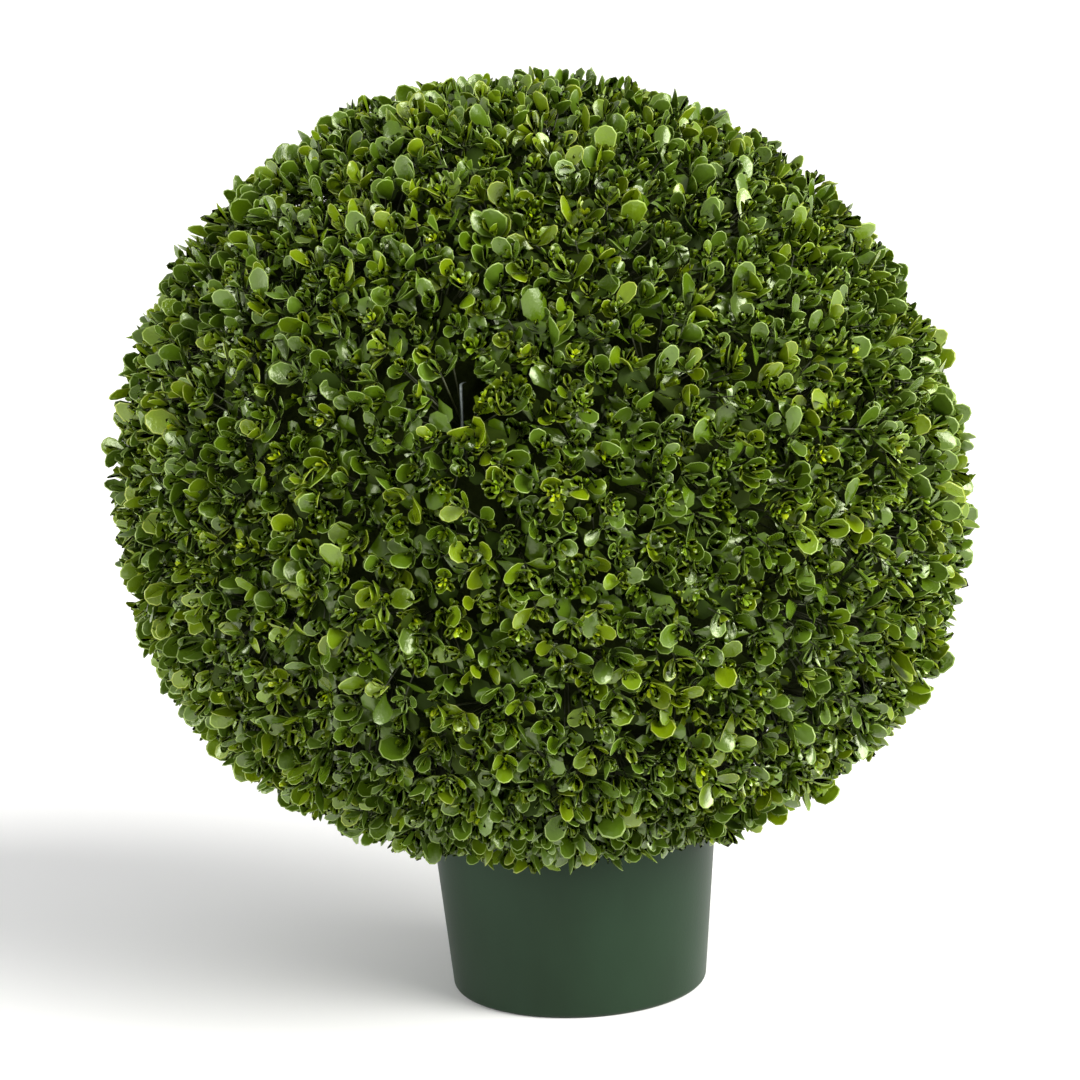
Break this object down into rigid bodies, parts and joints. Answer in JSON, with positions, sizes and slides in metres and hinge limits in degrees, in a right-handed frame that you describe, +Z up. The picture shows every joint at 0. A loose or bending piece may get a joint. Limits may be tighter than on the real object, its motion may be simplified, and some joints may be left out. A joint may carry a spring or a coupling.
{
  "type": "artificial box topiary ball in a pot",
  "caption": "Artificial clipped box ball: a dense globe of small leafy box sprays resting on a plain tapered round plastic pot.",
  "frame": {"origin": "centre of the pot's flat underside, on the surface that it stands on", "axes": "+Z up; +X to the right and -Y towards the viewer as seen from the front"},
  "size_m": [0.6154, 0.6138, 0.6633],
  "materials": {
    "pot": "smooth satin dark green moulded plastic",
    "filling": "rough cast cement weight",
    "stem": "plain brown bark",
    "foliage": "glossy moulded box leaves, dark to mid green with paler rims and yellow-green young tips"
  },
  "bodies": {
    "root": {"pot": "pot", "pot_filling": "filling", "stem": "stem", "box_ball": "foliage"}
  },
  "joints": []
}
